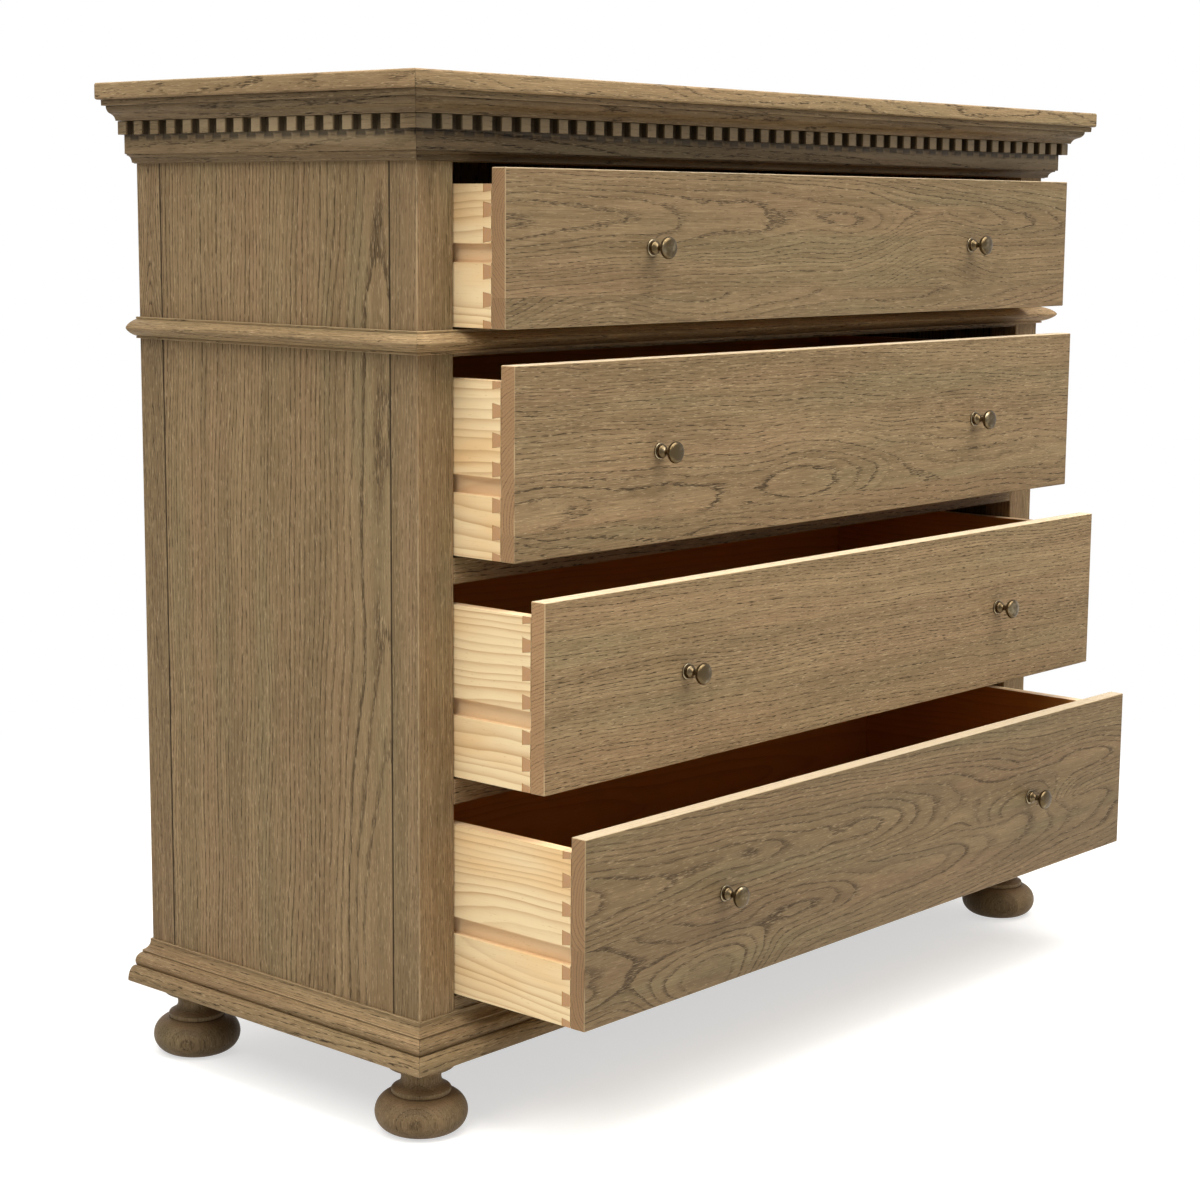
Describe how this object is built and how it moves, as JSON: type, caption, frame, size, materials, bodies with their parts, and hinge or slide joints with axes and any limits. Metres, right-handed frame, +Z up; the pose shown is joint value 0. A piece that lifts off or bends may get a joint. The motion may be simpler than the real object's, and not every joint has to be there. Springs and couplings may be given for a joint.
{
  "type": "wide chest of drawers",
  "caption": "Wide oak chest of drawers on turned bun feet, with a dentil cornice, moulded waist and base, and dovetailed pine drawers on side runners.",
  "frame": {"origin": "on the floor, midway between the left and right ends of the top, and midway between the back edge of the top and the knobs of the lowest drawer as it stands pulled out", "axes": "+X to the viewer's right along the chest, -Y out of the front, +Z up"},
  "size_m": [1.252, 0.6554, 1.0878],
  "materials": {
    "weathered_oak": "dry waxed, grey-brown, open grain with worn pale arrises",
    "pine": "planed and lightly oiled, satin",
    "aged_brass": "dark patina, rubbed bright on the rims"
  },
  "bodies": {
    "carcass": {"top": "weathered_oak", "crown_front": "weathered_oak", "crown_left": "weathered_oak", "crown_right": "weathered_oak", "frieze_front": "weathered_oak", "frieze_left": "weathered_oak", "frieze_right": "weathered_oak", "waist_front": "weathered_oak", "waist_left": "weathered_oak", "waist_right": "weathered_oak", "base_front": "weathered_oak", "base_left": "weathered_oak", "base_right": "weathered_oak", "post_front_left": "weathered_oak", "post_front_right": "weathered_oak", "post_back_left": "weathered_oak", "post_back_right": "weathered_oak", "side_panel_left": "weathered_oak", "side_panel_right": "weathered_oak", "back_panel": "weathered_oak", "rail_upper": "weathered_oak", "rail_middle": "weathered_oak", "rail_lower": "weathered_oak", "floor_and_bottom_rail": "weathered_oak", "foot_front_left": "weathered_oak", "foot_front_right": "weathered_oak", "foot_back_left": "weathered_oak", "foot_back_right": "weathered_oak"},
    "drawer_1": {"drawer_1_front": "weathered_oak", "drawer_1_box_front": "pine", "drawer_1_side_left": "pine", "drawer_1_side_right": "pine", "drawer_1_box_back": "pine", "drawer_1_bottom": "pine", "drawer_1_knob_left": "aged_brass", "drawer_1_knob_right": "aged_brass"},
    "drawer_2": {"drawer_2_front": "weathered_oak", "drawer_2_box_front": "pine", "drawer_2_side_left": "pine", "drawer_2_side_right": "pine", "drawer_2_box_back": "pine", "drawer_2_bottom": "pine", "drawer_2_knob_left": "aged_brass", "drawer_2_knob_right": "aged_brass"},
    "drawer_3": {"drawer_3_front": "weathered_oak", "drawer_3_box_front": "pine", "drawer_3_side_left": "pine", "drawer_3_side_right": "pine", "drawer_3_box_back": "pine", "drawer_3_bottom": "pine", "drawer_3_knob_left": "aged_brass", "drawer_3_knob_right": "aged_brass"},
    "drawer_4": {"drawer_4_front": "weathered_oak", "drawer_4_box_front": "pine", "drawer_4_side_left": "pine", "drawer_4_side_right": "pine", "drawer_4_box_back": "pine", "drawer_4_bottom": "pine", "drawer_4_knob_left": "aged_brass", "drawer_4_knob_right": "aged_brass"}
  },
  "joints": [
    {"name": "drawer_1_slide", "type": "slide", "parent": "carcass", "child": "drawer_1", "axis": [0, -1, 0], "range_m": [-0.071, 0.209]},
    {"name": "drawer_2_slide", "type": "slide", "parent": "carcass", "child": "drawer_2", "axis": [0, -1, 0], "range_m": [-0.084, 0.196]},
    {"name": "drawer_3_slide", "type": "slide", "parent": "carcass", "child": "drawer_3", "axis": [0, -1, 0], "range_m": [-0.126, 0.154]},
    {"name": "drawer_4_slide", "type": "slide", "parent": "carcass", "child": "drawer_4", "axis": [0, -1, 0], "range_m": [-0.182, 0.098]}
  ]
}
